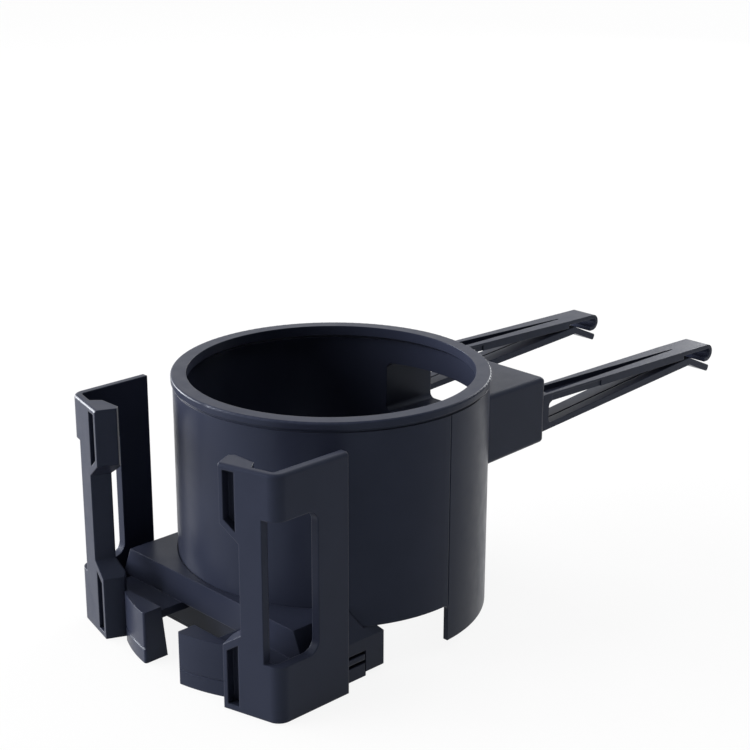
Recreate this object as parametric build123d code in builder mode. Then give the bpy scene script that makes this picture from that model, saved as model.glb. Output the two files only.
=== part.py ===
from build123d import *
import os
from math import cos, radians, sin, sqrt, tan

# Car cup holder that clips into an air vent, with a sliding phone cradle on its front.
# Millimetres. The origin is the centre of the cup's mouth, on the top face of its rim.
# +Y points to the air vent, -Y to the user, +X to the user's right and +Z up.

os.makedirs("parts", exist_ok=True)

# Cup wall and rim
mouth_radius = 34.6
rim_width = 3.7
rim_height = 2.4
rim_slope = 1.2
rim_round = 0.5
lip_proud = 0.4
lip_height = 1.7
lip_groove = 0.35
lip_groove_height = 0.8
wall = 1.3
seam_y = 1.7
seam_width = 0.3
seam_groove = 0.2
notch_round = 1.2

# Floor of the cup, and what hangs from its level
floor_depth = 52.0
wall_lift = 2.3
skirt_drop = 6.9
strap_width = 26.0
strap_sheet = 2.4
strap_lap = 5.0

# Air duct behind the cup, with a clip socket in each cheek
duct_width = 50.0
duct_length = 11.7
duct_drop = 7.8
duct_height = 17.4
duct_cheek = 10.0
duct_sheet = 2.0
duct_draft = 2.0
duct_round = 1.2
duct_corner = 1.5

# Vent clips
clip_width = 7.6
clip_inset = 0.8
clip_plate = 2.5
clip_reach = 73.4
clip_slim = 1.2
upper_jaw_drop = 5.2
upper_jaw_slope = 1.6
upper_jaw_sheet = 2.2
panel_edge = 0.6
panel_depth = 0.3
panel_share = 0.32
channel_root = 4.6
channel_tip = 0.5
channel_depth = 1.5
channel_share = 0.81
hook_run = 13.4
hook_radius = 2.35
hook_strip = 1.15
hook_return = 1.2
lower_jaw_lift = 2.48
lower_jaw_slope = 3.35
lower_jaw_root = 1.5
lower_jaw_tip = 2.1
lower_jaw_lead = 3.0
groove_width = 0.5
groove_shift = 1.0
groove_depth = 0.4
tail_length = 9.3
tail_angle = 24.0
tail_sheet = 1.8
tail_round = 0.6
root_round = 1.2
plug_width = 5.0
plug_height = 6.4
plug_length = 12.0
plug_chamfer = 0.8

# Phone cradle
cradle_half = 33.2
cradle_lead = 0.4
cradle_height = 8.6
cradle_length = 20.3
saddle_height = 7.3
saddle_sheet = 1.1
saddle_taper = 3.2
shelf_sheet = 2.0
shelf_inset = 3.2
phone_room = 7.9
cable_half = 10.0
foot_radius = 43.0
foot_depth = 5.5
foot_rise = 3.2
foot_drop = 9.7
foot_groove_lift = 3.7
foot_groove = 0.3
foot_set_back = 1.0
foot_back_lean = 1.4
foot_half = 18.8
foot_gap_half = 6.2
foot_round = 0.6
guide_front_wall = 1.6
guide_rear_wall = 5.7
mouth_gap = 0.9
mouth_length = 2.0

# Cover plate under the slides
cover_sheet = 1.0
cover_inset = 3.0

# Side arms
arm_gap = 1.2
arm_wall = 2.3
arm_nose = 2.0
arm_length = 20.3
arm_top = 3.6
arm_lift = 0.3
arm_corner_round = 3.2
arm_top_round = 0.8
flange_angle = 14.3
flange_sheet = 1.7
claw_reach = 15.0
claw_thick = 8.7
claw_ramp = 7.4
claw_end_slant = 10.0
claw_end_chamfer = 0.9
claw_step = 4.9
upper_claw_height = 13.7
upper_claw_bevel = 3.8
lower_claw_height = 15.5
lower_claw_bevel = 3.2
slot_outer = 10.9
slot_width = 3.0
slot_margin = 1.3
slot_end_margin = 2.0
slot_depth = 2.2
window_drop = 10.6
window_lift = 13.5
window_back = 8.8
window_reach = 4.0
window_round = 3.0
tongue_sheet = 1.4
tongue_centre_gap = 2.0
tongue_slot_width = 5.0
arm_travel = 13.0

# Screws
boss_inset = 11.2
boss_radius = 2.2
cover_screw_radius = 1.1
cover_screw_head = 2.0
cover_screw_length = 7.5
strap_screw_inset = 6.0
strap_screw_radius = 1.25
strap_screw_head = 2.4
strap_screw_length = 7.0
drive_width = 0.8
drive_depth = 0.7

# Clearances
seat_clear = 0.15
slide_clear = 0.2
side_clear = 0.3
screw_clear = 0.1
same_place = 0.01

# Cup places
rim_radius = mouth_radius + rim_width
wall_radius = rim_radius - lip_proud
wall_bore = wall_radius - wall
wall_middle = wall_radius - wall / 2
front_depth = floor_depth - wall_lift
skirt_depth = floor_depth + skirt_drop

# Duct and clip places
duct_rear = rim_radius + duct_length
duct_middle = -(duct_drop + duct_height / 2)
duct_bottom = -(duct_drop + duct_height)
duct_sag = duct_rear * tan(radians(duct_draft))
duct_throat = sqrt(wall_bore**2 - (duct_width / 2) ** 2)
clip_x = duct_width / 2 - clip_inset - clip_width / 2
upper_root = -(duct_drop + upper_jaw_drop)
upper_fall = tan(radians(upper_jaw_slope))
upper_jaw_length = clip_reach - hook_run
upper_tip = upper_root - upper_fall * upper_jaw_length
lower_root = duct_bottom + lower_jaw_lift
lower_rise = tan(radians(lower_jaw_slope))
lower_jaw_length = upper_jaw_length + lower_jaw_lead
lower_tip = lower_root + lower_rise * lower_jaw_length
clip_middle = (upper_root + lower_root) / 2
clip_root_height = upper_root - lower_root
strip_start = upper_jaw_length - hook_strip
strip_top = upper_root - upper_fall * strip_start
hook_y = clip_reach - hook_radius
hook_z = upper_root - upper_fall * hook_y - hook_radius
tail_sin = sin(radians(tail_angle))
tail_cos = cos(radians(tail_angle))
tail_end_y = lower_jaw_length + tail_length * tail_cos
tail_end_z = lower_tip - tail_length * tail_sin
panel_start = clip_plate + root_round
panel_end = panel_share * clip_reach
channel_end = channel_share * clip_reach

# Cradle places: the phone stands between the saddle and the claws
saddle_front = rim_radius + saddle_sheet
claw_back = saddle_front + phone_room
cradle_front = mouth_radius + cradle_lead
cradle_rear = cradle_front - cradle_length
cradle_bottom = floor_depth + cradle_height
saddle_top = floor_depth - saddle_height
saddle_half = cradle_half - saddle_taper
shelf_half = cradle_half - shelf_inset
saddle_step = -(front_depth + seat_clear)
foot_top = floor_depth - foot_rise
foot_bottom = floor_depth + foot_drop
foot_groove_z = -foot_bottom + foot_groove_lift
foot_back = claw_back + foot_set_back
foot_centre = foot_back + foot_depth - foot_radius
foot_reach = foot_back - cradle_front
shelf_length = claw_back - side_clear - cradle_front
guide_front = cradle_front - guide_front_wall
guide_rear = cradle_rear + guide_rear_wall
guide_y = -(guide_front + guide_rear) / 2
guide_width = guide_front - guide_rear
cover_top = -(cradle_bottom - cover_inset)
cover_bottom = -(cradle_bottom + cover_sheet)
tongue_low = cover_top + slide_clear
tongue_high = tongue_low + tongue_sheet
guide_top = tongue_high + slide_clear
mouth_top = tongue_high + mouth_gap
mouth_bottom = tongue_low - mouth_gap
centre_rib_half = tongue_centre_gap - side_clear
boss_x = cradle_half - boss_inset
cover_hole = cover_bottom + cover_screw_length + seat_clear - cover_top
strap_front = -(cradle_rear + strap_lap)
strap_screw_x = strap_width / 2 - strap_screw_inset
strap_screw_y = -(cradle_rear + guide_rear) / 2

# Arm places
arm_half = cradle_half + arm_gap + arm_wall
inner_wall = arm_half - arm_wall
arm_corner = claw_back + arm_nose
arm_back = arm_corner - arm_length
arm_bottom = foot_bottom - arm_lift
waist_reach = claw_reach - claw_step
upper_claw_bottom = arm_top + upper_claw_height
waist_top = upper_claw_bottom + upper_claw_bevel
lower_claw_top = arm_bottom - lower_claw_height
waist_bottom = lower_claw_top - lower_claw_bevel
window_top = arm_top + window_drop
window_bottom = arm_bottom - window_lift
window_end = arm_back + window_back
slot_inner = slot_outer + slot_width


# Block of the air duct, with a drafted underside, cut out round the cup
with BuildPart() as duct_block:
    with BuildSketch(Plane.YZ):
        with BuildLine():
            Polyline(
                (0, -duct_drop),
                (duct_rear, -duct_drop),
                (duct_rear, duct_bottom),
                (0, duct_bottom - duct_sag),
                close=True,
            )
        make_face()
    extrude(amount=duct_width / 2, both=True)
    fillet(duct_block.edges() - duct_block.faces().sort_by(Axis.Y)[0].edges(), duct_round)
    with BuildSketch(Plane.XY):
        Circle(wall_middle)
    extrude(amount=-skirt_depth, mode=Mode.SUBTRACT)

# Cup body: wall, rim, floor strap and air duct in one moulding
with BuildPart() as cup_body:
    with BuildSketch(Plane.XZ):
        with BuildLine():
            Polyline(
                (mouth_radius, 0),
                (rim_radius, 0),
                (rim_radius, -lip_height),
                (wall_radius - lip_groove, -lip_height),
                (wall_radius - lip_groove, -lip_height - lip_groove_height),
                (wall_radius, -lip_height - lip_groove_height),
                (wall_radius, -skirt_depth),
                (wall_bore, -skirt_depth),
                (wall_bore, -rim_height - rim_slope),
                (mouth_radius, -rim_height),
                close=True,
            )
        make_face()
    revolve(axis=Axis.Z)
    top_circles = cup_body.edges().filter_by(GeomType.CIRCLE).group_by(Axis.Z)[-1]
    fillet(top_circles.sort_by(SortBy.RADIUS)[-1], rim_round)

    # The wall stops short at the front, above the cradle
    with BuildSketch(Plane.YZ) as front_notch:
        with Locations((seam_y, -front_depth)):
            Rectangle(2 * rim_radius, skirt_depth, align=(Align.MAX, Align.MAX))
        fillet(front_notch.vertices().group_by(Axis.X)[-1].sort_by(Axis.Y)[-1], notch_round)
    extrude(amount=rim_radius, both=True, mode=Mode.SUBTRACT)

    # Floor strap from the back of the skirt to the cradle
    with BuildSketch(Plane.XY.offset(-floor_depth)):
        with Locations((0, strap_front)):
            Rectangle(strap_width, 2 * wall_radius, align=(Align.CENTER, Align.MIN))
        Circle(wall_middle, mode=Mode.INTERSECT)
    extrude(amount=-strap_sheet)

    # Air duct, open to the cup, with a collar up to the rim
    add(duct_block.part)
    with BuildSketch(Plane.XY.offset(-duct_drop)):
        Circle(rim_radius)
        Circle(wall_middle, mode=Mode.SUBTRACT)
        Rectangle(duct_width, rim_radius, align=(Align.CENTER, Align.MIN), mode=Mode.INTERSECT)
    extrude(amount=duct_drop - lip_height / 2)
    with BuildSketch(Plane.XZ.offset(-duct_rear)):
        with Locations((0, duct_middle)):
            RectangleRounded(duct_width - 2 * duct_cheek, duct_height - 2 * duct_sheet, duct_corner)
    extrude(amount=duct_rear - duct_throat, mode=Mode.SUBTRACT)

    # Clip sockets in the cheeks
    with BuildSketch(Plane.XZ.offset(-duct_rear)):
        with Locations((-clip_x, clip_middle), (clip_x, clip_middle)):
            Rectangle(plug_width + 2 * seat_clear, plug_height + 2 * seat_clear)
    extrude(amount=plug_length + seat_clear, mode=Mode.SUBTRACT)

    # Fine seam line down each side, in line with the end of the skirt
    with BuildSketch(Plane.XY.offset(-lip_height)):
        with Locations((-wall_radius, seam_y), (wall_radius, seam_y)):
            Rectangle(2 * seam_groove, seam_width)
    extrude(amount=-(front_depth - lip_height), mode=Mode.SUBTRACT)

    # Countersunk holes for the strap screws
    with Locations(*[Location((side * strap_screw_x, strap_screw_y, -floor_depth)) for side in (-1, 1)]):
        CounterSinkHole(strap_screw_radius + screw_clear, strap_screw_head + screw_clear, depth=strap_sheet)
cup_body.part.label = "cup_body"
export_step(cup_body.part, "parts/cup_body.step")


# Vent clip: two jaws that close towards the tip, a curled hook and a flared tail
clip_plane = Plane(origin=(clip_x, duct_rear, 0), x_dir=(0, 1, 0), z_dir=(1, 0, 0))
clip_plan = Plane(origin=(clip_x, duct_rear, lower_root), x_dir=(1, 0, 0), z_dir=(0, 0, 1))
upper_plane = Plane(
    origin=(clip_x, duct_rear, upper_root), x_dir=(1, 0, 0), z_dir=(0, upper_fall, 1)
)
lower_plane = Plane(
    origin=(clip_x, duct_rear, lower_root + lower_jaw_root),
    x_dir=(1, 0, 0),
    z_dir=(0, lower_root + lower_jaw_root - lower_tip - lower_jaw_tip, lower_jaw_length),
)


def inner_side(distance):
    """Place of a clip's inner side across its width, at a distance from the duct."""
    return clip_slim * (1 - distance / strip_start) - clip_width / 2


with BuildPart() as vent_clip_right:
    with BuildSketch(clip_plane) as jaws:
        with Locations((0, clip_middle)):
            Rectangle(clip_plate, clip_root_height - lower_jaw_root, align=(Align.MIN, Align.CENTER))
        with BuildLine():
            Polyline(
                (0, lower_root),
                (lower_jaw_length, lower_tip),
                (lower_jaw_length, lower_tip + lower_jaw_tip),
                (0, lower_root + lower_jaw_root),
                close=True,
            )
        make_face()
        with BuildLine():
            Polyline(
                (0, upper_root),
                (upper_jaw_length, upper_tip),
                (upper_jaw_length, upper_tip - upper_jaw_sheet),
                (0, upper_root - upper_jaw_sheet),
                close=True,
            )
        make_face()
        fillet(jaws.vertices().filter_by(lambda v: abs(v.X - clip_plate) < same_place), root_round)
    extrude(amount=clip_width / 2, both=True)
    # Both jaws are slimmer towards the root, on their inner side
    with BuildSketch(clip_plan):
        with BuildLine():
            Polyline(
                (inner_side(0), 0),
                (inner_side(strip_start), strip_start),
                (-clip_width, 0),
                close=True,
            )
        make_face()
    extrude(amount=clip_root_height, mode=Mode.SUBTRACT)
    # Thin strip from the upper jaw into the hook
    with BuildSketch(clip_plane):
        with BuildLine():
            Polyline(
                (strip_start, strip_top),
                (hook_y, hook_z + hook_radius),
                (hook_y, hook_z + hook_radius - hook_strip),
                (strip_start, strip_top - hook_strip),
                close=True,
            )
        make_face()
    extrude(amount=clip_width / 2, both=True)
    with BuildSketch(clip_plane):
        with Locations((hook_y, hook_z)):
            Circle(hook_radius)
            Circle(hook_radius - hook_strip, mode=Mode.SUBTRACT)
            Rectangle(hook_radius, 2 * hook_radius, align=(Align.MIN, Align.CENTER), mode=Mode.INTERSECT)
        with Locations((hook_y, hook_z - hook_radius)):
            Rectangle(hook_return, hook_strip, align=(Align.MAX, Align.MIN))
    extrude(amount=clip_width / 2, both=True)
    with BuildSketch(clip_plane) as tail:
        with BuildLine():
            Polyline(
                (lower_jaw_length - tail_sheet, lower_tip + tail_sheet / 2),
                (lower_jaw_length, lower_tip),
                (tail_end_y, tail_end_z),
                (tail_end_y + tail_sheet * tail_sin, tail_end_z + tail_sheet * tail_cos),
                (lower_jaw_length, lower_tip + tail_sheet / tail_cos),
                close=True,
            )
        make_face()
        fillet(tail.vertices().sort_by(Axis.X)[-2:], tail_round)
    extrude(amount=clip_width / 2, both=True)
    # Sunk panels on the cheeks of the upper jaw, and a channel that narrows to its tip
    with BuildSketch(upper_plane.offset(-panel_edge)):
        with BuildLine():
            Polyline(
                (clip_width / 2 - panel_depth, panel_start),
                (clip_width / 2 - panel_depth, panel_end),
                (clip_width, panel_end),
                (clip_width, panel_start),
                close=True,
            )
        make_face()
        with BuildLine():
            Polyline(
                (inner_side(panel_start) + panel_depth, panel_start),
                (inner_side(panel_end) + panel_depth, panel_end),
                (-clip_width, panel_end),
                (-clip_width, panel_start),
                close=True,
            )
        make_face()
    extrude(amount=-upper_jaw_sheet, mode=Mode.SUBTRACT)
    with BuildSketch(upper_plane):
        with BuildLine():
            Polyline(
                ((clip_slim - channel_root) / 2, clip_plate),
                (-channel_tip / 2, channel_end),
                (channel_tip / 2, channel_end),
                ((clip_slim + channel_root) / 2, clip_plate),
                close=True,
            )
        make_face()
    extrude(amount=-channel_depth, mode=Mode.SUBTRACT)
    # Fine groove along the lower jaw
    with BuildSketch(lower_plane):
        with Locations((groove_shift, 2 * clip_plate)):
            Rectangle(groove_width, channel_end - 2 * clip_plate, align=(Align.CENTER, Align.MIN))
    extrude(amount=-groove_depth, mode=Mode.SUBTRACT)
    # Plug that presses into the duct's cheek
    with BuildSketch(Plane.XZ.offset(-duct_rear)):
        with Locations((clip_x, clip_middle)):
            Rectangle(plug_width, plug_height)
    extrude(amount=plug_length)
    chamfer(vent_clip_right.faces().sort_by(Axis.Y)[0].edges(), plug_chamfer)
vent_clip_right.part.label = "vent_clip_right"
export_step(vent_clip_right.part, "parts/vent_clip_right.step")

with BuildPart() as vent_clip_left:
    mirror(vent_clip_right.part, about=Plane.YZ)
vent_clip_left.part.label = "vent_clip_left"
export_step(vent_clip_left.part, "parts/vent_clip_left.step")


# Curved feet in front of the phone, with a gap for its cable
foot_axis = Axis((0, -foot_centre, 0), (0, 0, 1))
foot_plane = Plane(origin=(0, -foot_centre, 0), x_dir=(0, -1, 0), z_dir=(-1, 0, 0))
with BuildPart() as feet:
    with BuildSketch(Plane.XY.offset(-foot_bottom)) as foot_plan:
        with Locations((0, -foot_centre)):
            Circle(foot_radius)
        with Locations((0, -foot_back + foot_back_lean)):
            Rectangle(2 * foot_half, foot_radius, align=(Align.CENTER, Align.MAX), mode=Mode.INTERSECT)
            Rectangle(2 * foot_gap_half, foot_radius, mode=Mode.SUBTRACT)
        front_points = foot_plan.vertices().filter_by(lambda v: v.Y < -foot_back - foot_round)
        fillet(front_points.filter_by(lambda v: abs(v.X) < cable_half), foot_round)
    extrude(amount=foot_bottom - foot_top)
    # Backs that lean towards the phone
    with BuildSketch(Plane.YZ):
        with BuildLine():
            Polyline(
                (-2 * foot_back, -foot_top),
                (-foot_back, -foot_top),
                (-foot_back + foot_back_lean, -foot_bottom),
                (-2 * foot_back, -foot_bottom),
                close=True,
            )
        make_face()
    extrude(amount=foot_half, both=True, mode=Mode.INTERSECT)
    with BuildSketch(foot_plane):
        with BuildLine():
            Polyline(
                (foot_radius - foot_groove, foot_groove_z),
                (foot_radius + foot_groove, foot_groove_z + 2 * foot_groove),
                (foot_radius + foot_groove, foot_groove_z - 2 * foot_groove),
                close=True,
            )
        make_face()
    revolve(axis=foot_axis, mode=Mode.SUBTRACT)

# Cradle base: slide housing under the cup, saddle against its wall, shelf and feet
with BuildPart() as cradle_base:
    with BuildSketch(Plane.XZ.offset(saddle_front)):
        with BuildLine():
            Polyline(
                (-cradle_half, -floor_depth),
                (-saddle_half, -saddle_top),
                (saddle_half, -saddle_top),
                (cradle_half, -floor_depth),
                close=True,
            )
        make_face()
    extrude(amount=-(saddle_front - cradle_rear))
    with BuildSketch(Plane.YZ):
        with BuildLine():
            Polyline(
                (-saddle_front, -floor_depth),
                (-cradle_rear, -floor_depth),
                (-cradle_rear - (floor_depth - saddle_top), -saddle_top),
                (-saddle_front, -saddle_top),
                close=True,
            )
        make_face()
    extrude(amount=cradle_half, both=True, mode=Mode.INTERSECT)
    with BuildSketch(Plane.XY.offset(-floor_depth)):
        Circle(mouth_radius)
    extrude(amount=floor_depth, mode=Mode.SUBTRACT)
    with BuildSketch(Plane.XY.offset(saddle_step)):
        Circle(wall_radius + seat_clear)
    extrude(amount=floor_depth, mode=Mode.SUBTRACT)
    with BuildSketch(Plane.XY.offset(-cradle_bottom)):
        with Locations((0, -cradle_rear)):
            Rectangle(2 * cradle_half, cradle_front - cradle_rear, align=(Align.CENTER, Align.MAX))
    extrude(amount=cradle_bottom - floor_depth)
    with BuildSketch(Plane.XY.offset(-floor_depth)):
        with Locations((0, -cradle_front)):
            Rectangle(2 * shelf_half, shelf_length, align=(Align.CENTER, Align.MAX))
            Rectangle(2 * foot_half, foot_reach, align=(Align.CENTER, Align.MAX))
            Rectangle(2 * cable_half, foot_reach, align=(Align.CENTER, Align.MAX), mode=Mode.SUBTRACT)
    extrude(amount=-shelf_sheet)
    add(feet.part)
    # Slide channel, open below, with wider mouths at the two ends
    with BuildSketch(Plane.XY.offset(-cradle_bottom)):
        with Locations((0, guide_y)):
            Rectangle(2 * cradle_half, guide_width)
            Rectangle(2 * centre_rib_half, guide_width, mode=Mode.SUBTRACT)
    extrude(amount=guide_top + cradle_bottom, mode=Mode.SUBTRACT)
    with BuildSketch(Plane.XY.offset(-cradle_bottom)):
        for side in (-1, 1):
            with Locations((side * (cradle_half - mouth_length / 2), guide_y)):
                Rectangle(mouth_length, guide_width)
    extrude(amount=mouth_top + cradle_bottom, mode=Mode.SUBTRACT)
    with BuildSketch(Plane.XY.offset(-cradle_bottom)):
        with Locations((0, guide_y)):
            Rectangle(2 * centre_rib_half, guide_width)
    extrude(amount=cover_inset + seat_clear, mode=Mode.SUBTRACT)
    # Bosses for the cover screws, which also stop the arms
    with BuildSketch(Plane.XY.offset(cover_top + seat_clear)):
        with Locations((-boss_x, guide_y), (boss_x, guide_y)):
            Circle(boss_radius)
    extrude(amount=guide_top - cover_top)
    with Locations(*[Location((side * boss_x, guide_y, cover_top)) for side in (-1, 1)]):
        Cylinder(
            cover_screw_radius + screw_clear,
            cover_hole,
            align=(Align.CENTER, Align.CENTER, Align.MIN),
            mode=Mode.SUBTRACT,
        )
    # Rabbet and pilot holes for the front end of the floor strap
    with BuildSketch(Plane.XY.offset(-floor_depth)):
        with Locations((0, strap_front - seat_clear)):
            Rectangle(strap_width + 2 * seat_clear, 2 * strap_lap, align=(Align.CENTER, Align.MIN))
    extrude(amount=-strap_sheet, mode=Mode.SUBTRACT)
    with Locations(*[Location((side * strap_screw_x, strap_screw_y, -floor_depth)) for side in (-1, 1)]):
        Cylinder(
            strap_screw_radius + screw_clear,
            strap_screw_length + seat_clear,
            align=(Align.CENTER, Align.CENTER, Align.MAX),
            mode=Mode.SUBTRACT,
        )
cradle_base.part.label = "cradle_base"
export_step(cradle_base.part, "parts/cradle_base.step")


# Cover plate that closes the slide channel from below
with BuildPart() as cradle_cover:
    with BuildSketch(Plane.XY.offset(-cradle_bottom)):
        with Locations((0, -guide_rear)):
            Rectangle(2 * cradle_half, cradle_front - guide_rear, align=(Align.CENTER, Align.MAX))
    extrude(amount=-cover_sheet)
    with BuildSketch(Plane.XY.offset(-cradle_bottom)):
        with Locations((0, guide_y)):
            Rectangle(2 * (cradle_half - mouth_length), guide_width - 2 * side_clear)
    extrude(amount=cover_inset)
    with BuildSketch(Plane.XY.offset(-cradle_bottom)):
        with Locations((0, guide_y)):
            Rectangle(2 * cradle_half, guide_width - 2 * side_clear)
    extrude(amount=mouth_bottom + cradle_bottom)
    with Locations(*[Location((side * boss_x, guide_y, cover_bottom), (180, 0, 0)) for side in (-1, 1)]):
        CounterSinkHole(
            cover_screw_radius + screw_clear, cover_screw_head + screw_clear, depth=cover_sheet + cover_inset
        )
cradle_cover.part.label = "cradle_cover"
export_step(cradle_cover.part, "parts/cradle_cover.step")


# Side arm: wall, slanted front flange with two claws, and a tongue that slides in the cradle
flange = radians(flange_angle)
corner = Vector(arm_half, -arm_corner)
along = Vector(-cos(flange), -sin(flange))
inward = Vector(-sin(flange), cos(flange))
end_run = tan(radians(claw_end_slant))


def flange_point(reach, depth):
    """Plan point on the right arm's flange, from its corner along the front and into its depth."""
    point = corner + along * reach + inward * depth
    return (point.X, point.Y)


def reach_at_back(reach):
    """Depth from the flange's front to the plane that touches the phone, at one reach."""
    return (reach * sin(flange) + arm_corner - claw_back) / cos(flange)


claw_end_depth = reach_at_back(claw_reach) - claw_end_chamfer
claw_end = flange_point(claw_reach + end_run * claw_end_depth, claw_end_depth)
claw_end_back = (claw_end[0] + claw_end_chamfer, -claw_back)
inner_corner_reach = (arm_wall - flange_sheet * sin(flange)) / cos(flange)
flange_front = Plane(
    origin=(arm_half, -arm_corner, 0), x_dir=(along.X, along.Y, 0), z_dir=(inward.X, inward.Y, 0)
)
end_direction = inward + along * end_run
tongue_width = guide_width - 2 * side_clear
tongue_slot_outer = boss_x + boss_radius + side_clear
tongue_slot_inner = tongue_slot_outer - arm_travel - 2 * boss_radius - 2 * side_clear

with BuildPart() as arm_right:
    with BuildSketch(Plane.XY.offset(-arm_bottom)) as arm_plan:
        with BuildLine():
            Polyline(
                (arm_half, -arm_back),
                (arm_half, -arm_corner),
                flange_point(claw_reach, 0),
                claw_end,
                claw_end_back,
                flange_point(claw_thick, reach_at_back(claw_thick)),
                flange_point(claw_ramp, flange_sheet),
                flange_point(inner_corner_reach, flange_sheet),
                (inner_wall, -arm_back),
                close=True,
            )
        make_face()
        outer_corner = arm_plan.vertices().sort_by_distance((arm_half, -arm_corner))[0]
        fillet(outer_corner, arm_corner_round)
        inner_corner = arm_plan.vertices().sort_by_distance(flange_point(inner_corner_reach, flange_sheet))[0]
        fillet(inner_corner, arm_corner_round - arm_wall)
    extrude(amount=arm_bottom - arm_top)
    outer_edges = arm_right.edges().filter_by(Axis.Y).group_by(Axis.X)[-1]
    fillet(outer_edges.sort_by(Axis.Z)[-1], arm_top_round)
    # The flange is narrower between the two claws
    with BuildSketch(flange_front):
        with BuildLine():
            Polyline(
                (waist_reach, -waist_top),
                (claw_reach, -upper_claw_bottom),
                (2 * claw_reach, -upper_claw_bottom),
                (2 * claw_reach, -lower_claw_top),
                (claw_reach, -lower_claw_top),
                (waist_reach, -waist_bottom),
                close=True,
            )
        make_face()
    extrude(amount=2 * claw_reach, dir=(end_direction.X, end_direction.Y, 0), mode=Mode.SUBTRACT)
    # Cored slots in the front of the claws
    with BuildSketch(flange_front):
        for straight, slanted, bevel in (
            (-arm_top - slot_margin, -upper_claw_bottom + slot_end_margin, -upper_claw_bevel),
            (-arm_bottom + slot_margin, -lower_claw_top - slot_end_margin, lower_claw_bevel),
        ):
            with BuildLine():
                Polyline(
                    (slot_outer, straight),
                    (slot_inner, straight),
                    (slot_inner, slanted + bevel * (claw_reach - slot_inner) / claw_step),
                    (slot_outer, slanted + bevel * (claw_reach - slot_outer) / claw_step),
                    close=True,
                )
            make_face()
    extrude(amount=slot_depth, mode=Mode.SUBTRACT)
    # Window through the side wall and round the corner
    with BuildSketch(Plane.YZ.offset(arm_half - window_reach)) as window:
        with Locations((-window_end, -(window_top + window_bottom) / 2)):
            Rectangle(arm_corner, window_bottom - window_top, align=(Align.MAX, Align.CENTER))
        fillet(window.vertices().group_by(Axis.X)[-1], window_round)
    extrude(amount=2 * window_reach, mode=Mode.SUBTRACT)
    # Slotted tongue
    with BuildSketch(Plane.XY.offset(tongue_low)):
        with Locations((tongue_centre_gap, guide_y)):
            Rectangle(cradle_half - tongue_centre_gap, tongue_width, align=(Align.MIN, Align.CENTER))
        with Locations((inner_wall + arm_wall / 2, guide_y - tongue_width / 2)):
            Rectangle(
                inner_wall + arm_wall / 2 - tongue_centre_gap,
                -arm_back - side_clear - (guide_y - tongue_width / 2),
                align=(Align.MAX, Align.MIN),
            )
        with Locations(((tongue_slot_inner + tongue_slot_outer) / 2, guide_y)):
            SlotOverall(tongue_slot_outer - tongue_slot_inner, tongue_slot_width, mode=Mode.SUBTRACT)
    extrude(amount=tongue_sheet)
arm_right.part.label = "arm_right"
export_step(arm_right.part, "parts/arm_right.step")

with BuildPart() as arm_left:
    mirror(arm_right.part, about=Plane.YZ)
arm_left.part.label = "arm_left"
export_step(arm_left.part, "parts/arm_left.step")


def countersunk_screw(radius, head_radius, length):
    """Slotted countersunk screw that points down, with the top of its head at the origin."""
    with BuildPart() as screw:
        with BuildSketch(Plane.XZ):
            with BuildLine():
                Polyline(
                    (0, 0),
                    (head_radius, 0),
                    (radius, -(head_radius - radius)),
                    (radius, -length),
                    (0, -length),
                    close=True,
                )
            make_face()
        revolve(axis=Axis.Z)
        with BuildSketch():
            Rectangle(3 * head_radius, drive_width)
        extrude(amount=-drive_depth, mode=Mode.SUBTRACT)
    return screw.part


# Screws that hold the strap to the cradle, from inside the cup
strap_screw = countersunk_screw(strap_screw_radius, strap_screw_head, strap_screw_length)
with BuildPart() as strap_screws:
    with Locations(*[Location((side * strap_screw_x, strap_screw_y, -floor_depth)) for side in (-1, 1)]):
        add(strap_screw)
strap_screws.part.label = "strap_screws"
export_step(strap_screws.part, "parts/strap_screws.step")

# Screws that hold the cover, from below
cover_screw = countersunk_screw(cover_screw_radius, cover_screw_head, cover_screw_length)
with BuildPart() as cover_screws:
    with Locations(*[Location((side * boss_x, guide_y, cover_bottom), (180, 0, 0)) for side in (-1, 1)]):
        add(cover_screw)
cover_screws.part.label = "cover_screws"
export_step(cover_screws.part, "parts/cover_screws.step")
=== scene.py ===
import bpy
from math import cos, radians, sin
from mathutils import Matrix, Vector


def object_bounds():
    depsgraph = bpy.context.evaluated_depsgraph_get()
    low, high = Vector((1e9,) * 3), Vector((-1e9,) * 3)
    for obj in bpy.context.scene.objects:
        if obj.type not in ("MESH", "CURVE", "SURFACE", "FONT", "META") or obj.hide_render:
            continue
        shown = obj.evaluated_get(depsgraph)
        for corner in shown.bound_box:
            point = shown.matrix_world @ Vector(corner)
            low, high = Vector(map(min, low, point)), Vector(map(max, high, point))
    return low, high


# Car cup holder with a phone cradle: finishes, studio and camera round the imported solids.
# Metres, in the frame of the solids: the origin is the centre of the cup's mouth.
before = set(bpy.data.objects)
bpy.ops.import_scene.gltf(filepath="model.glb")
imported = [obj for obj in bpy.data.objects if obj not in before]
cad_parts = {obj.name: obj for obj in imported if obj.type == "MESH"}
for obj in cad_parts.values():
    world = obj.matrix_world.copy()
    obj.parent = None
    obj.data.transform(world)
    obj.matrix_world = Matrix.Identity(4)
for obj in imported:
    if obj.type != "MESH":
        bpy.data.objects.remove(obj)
cad_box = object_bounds()

# Camera, as fitted to the object's own edges
camera_place = Vector((0.27560, -0.25367, 0.12350))
camera_azimuth = radians(45.78)
camera_elevation = radians(18.5)
camera_roll = radians(0.19)
focal_pixels = 1650.2
image_pixels = 750
sensor_width = 36.0
nearest_view = 0.01

# Radius at which the edges catch the light: the arms are the softest, the screws the crispest
body_edge = 0.00025
arm_edge = 0.00045
screw_edge = 0.00010
edge_samples = 8

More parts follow.
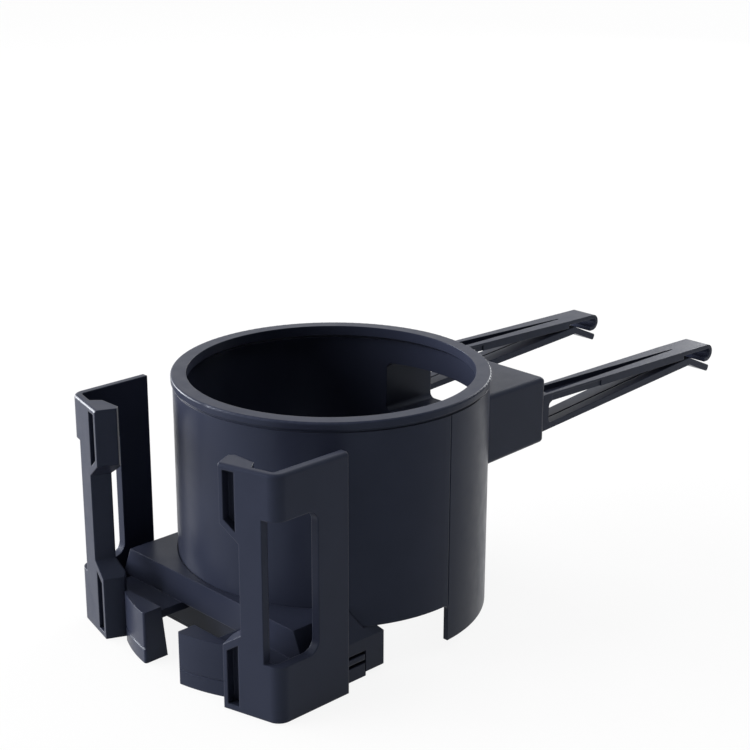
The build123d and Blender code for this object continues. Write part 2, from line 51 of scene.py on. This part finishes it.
# Black plastic, with each noise as its scale in cells per metre and its octaves of detail
dark_tone = (0.0148, 0.0173, 0.0295, 1)
light_tone = (0.0194, 0.0226, 0.0384, 1)
plastic_tone_noise = (90, 4)
plastic_roughness = (0.28, 0.38)
plastic_gloss_noise = (240, 5)
plastic_grain_noise = (5200, 2)
plastic_grain_strength = 0.10
plastic_grain_depth = 0.00006
plastic_shine = 0.12
plastic_shine_tint = (0.66, 0.79, 1.0, 1)

# Plated steel of the screws
steel_tone = (0.34, 0.34, 0.35, 1)
steel_roughness = (0.35, 0.55)
steel_gloss_noise = (1500, 3)
steel_grain_noise = (9000, 2)
steel_grain_strength = 0.08
steel_grain_depth = 0.00003

# Stretch of a noise that is spread over a range of roughness
noise_low = 0.3
noise_high = 0.7

# Studio, with the share of plain white in what the camera sees of the floor
white = (1, 1, 1, 1)
floor_size = 8.0
floor_grey = (0.70, 0.70, 0.70, 1)
floor_white = 0.89
sky_tint = (0.92, 0.95, 1.0, 1)
sky_strength = 0.06
backdrop_strength = 1.0

# Lamps, the broad ones in watts per square metre and the soft boxes in watts
cup_mouth = (0, 0, 0)
cup_middle = (0, 0, -0.03)
top_place = (-0.1, 0.4, 1.2)
top_spread = radians(80)
top_strength = 2.0
front_place = (-0.78, -0.97, 0.28)
front_spread = radians(55)
front_strength = 7.0
soft_box_size = 0.5
left_place = (-0.92, -0.24, 0.06)
left_power = 17
rim_place = (-0.25, 1.0, 0.30)
rim_power = 5.5


def new_material(name):
    """A material with a Principled shader, and its node tree and shader."""
    material = bpy.data.materials.new(name)
    material.use_nodes = True
    tree = material.node_tree
    return material, tree, tree.nodes["Principled BSDF"]


def noise(tree, scale, detail):
    """Noise that lies in the object's own space."""
    place = tree.nodes.new("ShaderNodeTexCoord")
    texture = tree.nodes.new("ShaderNodeTexNoise")
    texture.inputs["Scale"].default_value = scale
    texture.inputs["Detail"].default_value = detail
    tree.links.new(place.outputs["Object"], texture.inputs["Vector"])
    return texture.outputs["Fac"]


def ramp(tree, source, low, high):
    """Maps a noise to values between low and high."""
    node = tree.nodes.new("ShaderNodeMapRange")
    node.inputs["From Min"].default_value = noise_low
    node.inputs["From Max"].default_value = noise_high
    node.inputs["To Min"].default_value = low
    node.inputs["To Max"].default_value = high
    tree.links.new(source, node.inputs["Value"])
    return node.outputs["Result"]


def bump(tree, shader, height, strength, depth, edge):
    """Fine relief on a shader, over edges that shade as if rounded to a radius."""
    soft = tree.nodes.new("ShaderNodeBevel")
    soft.samples = edge_samples
    soft.inputs["Radius"].default_value = edge
    node = tree.nodes.new("ShaderNodeBump")
    node.inputs["Strength"].default_value = strength
    node.inputs["Distance"].default_value = depth
    tree.links.new(height, node.inputs["Height"])
    tree.links.new(soft.outputs["Normal"], node.inputs["Normal"])
    tree.links.new(node.outputs["Normal"], shader.inputs["Normal"])


def moulded_plastic(name, edge):
    """Satin black moulding: a spark-eroded grain, with faint changes of tone and gloss."""
    material, tree, shader = new_material(name)
    tone = tree.nodes.new("ShaderNodeMix")
    tone.data_type = "RGBA"
    tone.inputs["A"].default_value = dark_tone
    tone.inputs["B"].default_value = light_tone
    tree.links.new(noise(tree, *plastic_tone_noise), tone.inputs["Factor"])
    tree.links.new(tone.outputs["Result"], shader.inputs["Base Color"])
    gloss = ramp(tree, noise(tree, *plastic_gloss_noise), *plastic_roughness)
    tree.links.new(gloss, shader.inputs["Roughness"])
    grain = noise(tree, *plastic_grain_noise)
    bump(tree, shader, grain, plastic_grain_strength, plastic_grain_depth, edge)
    shader.inputs["Specular IOR Level"].default_value = plastic_shine
    shader.inputs["Specular Tint"].default_value = plastic_shine_tint
    return material


def plated_steel(name, edge):
    """Zinc-plated screw steel with a fine grain."""
    material, tree, shader = new_material(name)
    shader.inputs["Base Color"].default_value = steel_tone
    shader.inputs["Metallic"].default_value = 1.0
    gloss = ramp(tree, noise(tree, *steel_gloss_noise), *steel_roughness)
    tree.links.new(gloss, shader.inputs["Roughness"])
    grain = noise(tree, *steel_grain_noise)
    bump(tree, shader, grain, steel_grain_strength, steel_grain_depth, edge)
    return material


def paint(piece, material):
    """Gives a piece one material, in place of those it came with."""
    piece.data.materials.clear()
    piece.data.materials.append(material)


def camera_rays(tree):
    """One for rays that the camera sees, also in a mirror or through glass, and nought for the rest."""
    path = tree.nodes.new("ShaderNodeLightPath")
    total = path.outputs["Is Camera Ray"]
    for kind in ("Is Glossy Ray", "Is Transmission Ray"):
        either = tree.nodes.new("ShaderNodeMath")
        either.operation = "MAXIMUM"
        tree.links.new(total, either.inputs[0])
        tree.links.new(path.outputs[kind], either.inputs[1])
        total = either.outputs["Value"]
    return total


def mix_shaders(tree, share, first, second, output):
    """Blends two shaders by the second one's share, and sends the blend to an output."""
    mix = tree.nodes.new("ShaderNodeMixShader")
    tree.links.new(share, mix.inputs["Fac"])
    tree.links.new(first, mix.inputs[1])
    tree.links.new(second, mix.inputs[2])
    tree.links.new(mix.outputs["Shader"], output.inputs["Surface"])


def studio_floor(height):
    """Pale plain floor that shows white to the camera and keeps the soft shadow."""
    bpy.ops.mesh.primitive_plane_add(size=floor_size, location=(0, 0, height))
    floor = bpy.context.object
    floor.name = "studio_floor"
    material, tree, shader = new_material("studio_floor")
    tree.nodes.remove(shader)
    matte = tree.nodes.new("ShaderNodeBsdfDiffuse")
    matte.inputs["Color"].default_value = floor_grey
    glow = tree.nodes.new("ShaderNodeEmission")
    glow.inputs["Color"].default_value = white
    share = tree.nodes.new("ShaderNodeMath")
    share.operation = "MULTIPLY"
    share.inputs[1].default_value = floor_white
    tree.links.new(camera_rays(tree), share.inputs[0])
    output = tree.nodes["Material Output"]
    mix_shaders(tree, share.outputs["Value"], matte.outputs["BSDF"], glow.outputs["Emission"], output)
    paint(floor, material)


def studio_world():
    """White behind the object, and a plain even light from all round."""
    world = bpy.data.worlds.new("studio")
    bpy.context.scene.world = world
    world.use_nodes = True
    tree = world.node_tree
    sky = tree.nodes["Background"]
    sky.inputs["Color"].default_value = sky_tint
    sky.inputs["Strength"].default_value = sky_strength
    backdrop = tree.nodes.new("ShaderNodeBackground")
    backdrop.inputs["Color"].default_value = white
    backdrop.inputs["Strength"].default_value = backdrop_strength
    output = tree.nodes["World Output"]
    mix_shaders(tree, camera_rays(tree), sky.outputs["Background"], backdrop.outputs["Background"], output)


def aim_light(name, data, place, target):
    """Puts a light at a place and turns it to a point."""
    lamp = bpy.data.objects.new(name, data)
    bpy.context.collection.objects.link(lamp)
    lamp.location = place
    lamp.rotation_euler = (Vector(target) - Vector(place)).to_track_quat("-Z", "Y").to_euler()
    return lamp


def broad_light(name, place, target, spread, strength):
    """An even light over the whole floor, which leaves no glare on level faces."""
    data = bpy.data.lights.new(name, "SUN")
    data.angle = spread
    data.energy = strength
    lamp = aim_light(name, data, place, target)
    lamp.visible_glossy = False


def soft_light(name, place, target, size, power):
    """A square soft box that faces a point of the object."""
    data = bpy.data.lights.new(name, "AREA")
    data.shape = "SQUARE"
    data.size = size
    data.energy = power
    aim_light(name, data, place, target)


def photo_camera():
    """Camera at the fitted place, looking along the fitted axes."""
    right = Vector((cos(camera_azimuth), sin(camera_azimuth), 0))
    back = Vector(
        (
            sin(camera_azimuth) * cos(camera_elevation),
            -cos(camera_azimuth) * cos(camera_elevation),
            sin(camera_elevation),
        )
    )
    up = back.cross(right)
    rolled_right = right * cos(camera_roll) + up * sin(camera_roll)
    rolled_up = up * cos(camera_roll) - right * sin(camera_roll)
    data = bpy.data.cameras.new("photo_camera")
    data.sensor_width = sensor_width
    data.lens = focal_pixels / image_pixels * sensor_width
    data.clip_start = nearest_view
    camera = bpy.data.objects.new("photo_camera", data)
    bpy.context.collection.objects.link(camera)
    turn = Matrix((rolled_right, rolled_up, back)).transposed().to_4x4()
    camera.matrix_world = Matrix.Translation(camera_place) @ turn
    bpy.context.scene.camera = camera


# Finishes
body_plastic = moulded_plastic("body_plastic", body_edge)
arm_plastic = moulded_plastic("arm_plastic", arm_edge)
screw_steel = plated_steel("screw_steel", screw_edge)
for name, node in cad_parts.items():
    if name.endswith("screws"):
        paint(node, screw_steel)
    elif name.startswith("arm"):
        paint(node, arm_plastic)
    else:
        paint(node, body_plastic)

# Studio and camera
studio_floor(cad_box[0][2])
studio_world()
broad_light("top_light", top_place, cup_mouth, top_spread, top_strength)
broad_light("front_light", front_place, cup_mouth, front_spread, front_strength)
soft_light("left_light", left_place, cup_middle, soft_box_size, left_power)
soft_light("rim_light", rim_place, cup_middle, soft_box_size, rim_power)
photo_camera()
bpy.context.scene.view_settings.view_transform = "Standard"
